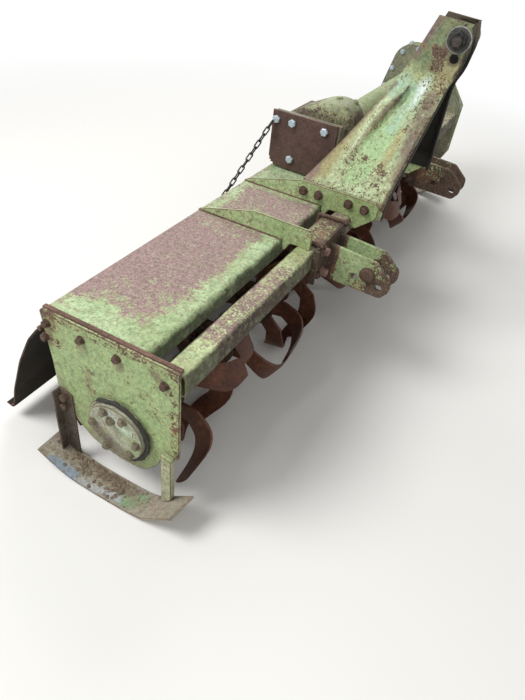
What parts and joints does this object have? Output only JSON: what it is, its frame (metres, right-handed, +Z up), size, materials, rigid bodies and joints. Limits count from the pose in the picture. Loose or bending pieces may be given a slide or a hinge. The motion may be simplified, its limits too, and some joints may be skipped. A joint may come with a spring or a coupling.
{
  "type": "rotary tiller",
  "caption": "Wide tractor-mounted rotary tiller with a flat hood, leaning mast plates, side chain drive, skids, hinged tailgate and a tined rotor.",
  "frame": {"origin": "on the floor under the middle of the machine, at the front edge of the end plates", "axes": "+X across the machine towards the chain drive, +Y to the rear, +Z up"},
  "size_m": [2.424, 0.7903, 0.98],
  "materials": {
    "green_paint": "worn pale green paint with rust",
    "grey_green_paint": "weathered grey-green",
    "rusty_steel": "rusty",
    "brown_rust_plate": "even brown rust",
    "dark_rust_sheet": "dark rust and soil",
    "dark_steel": "dark oily steel",
    "worn_skid": "rubbed bare with paint left in patches",
    "soil_rust": "rust and soil",
    "tine_rust": "reddish rust, rubbed smooth"
  },
  "bodies": {
    "frame": {"deck": "green_paint", "right_end_plate": "green_paint", "left_end_plate": "green_paint", "bearing_hubs": "grey_green_paint", "chain_case_shell": "green_paint", "chain_case_cover": "green_paint", "toolbar": "green_paint", "outer_rib_right": "green_paint", "outer_rib_left": "green_paint", "inner_rib_right": "green_paint", "inner_rib_left": "green_paint", "mast_plate_right": "green_paint", "mast_plate_left": "green_paint", "top_link_pin": "dark_steel", "hitch_brackets": "green_paint", "hitch_pins": "dark_steel", "toolbar_clamp_right": "rusty_steel", "toolbar_clamp_left": "rusty_steel", "gearbox_housing": "green_paint", "gearbox_side_cover": "brown_rust_plate", "cross_shaft_tube": "green_paint", "tailgate_hinge_rod": "rusty_steel", "tailgate_chain": "dark_steel", "skid_right": "worn_skid", "skid_left": "worn_skid", "skid_front_post_right": "green_paint", "skid_front_post_left": "green_paint", "skid_rear_post_right": "green_paint", "skid_rear_post_left": "green_paint"},
    "rotor": {"rotor_tube": "soil_rust", "rotor_journals": "dark_steel", "rotor_tine_sets": "tine_rust"},
    "input_shaft": {"input_shaft": "dark_steel"},
    "tailgate": {"tailgate_sheet": "dark_rust_sheet", "tailgate_knuckles": "dark_rust_sheet"}
  },
  "joints": [
    {"name": "rotor_spin", "type": "hinge", "parent": "frame", "child": "rotor", "pos_m": [0, 0.165, 0.206], "axis": [1, 0, 0], "continuous": true},
    {"name": "input_spin", "type": "hinge", "parent": "frame", "child": "input_shaft", "pos_m": [0, 0.03, 0.552], "axis": [0, -1, 0], "continuous": true},
    {"name": "tailgate_swing", "type": "hinge", "parent": "frame", "child": "tailgate", "pos_m": [0, 0.384, 0.396], "axis": [1, 0, 0], "range_deg": [0, 55], "deforming": ["tailgate_chain"]}
  ],
  "couplings": [
    {"joint": "input_spin", "follows": "rotor_spin", "ratio": 2.7}
  ]
}
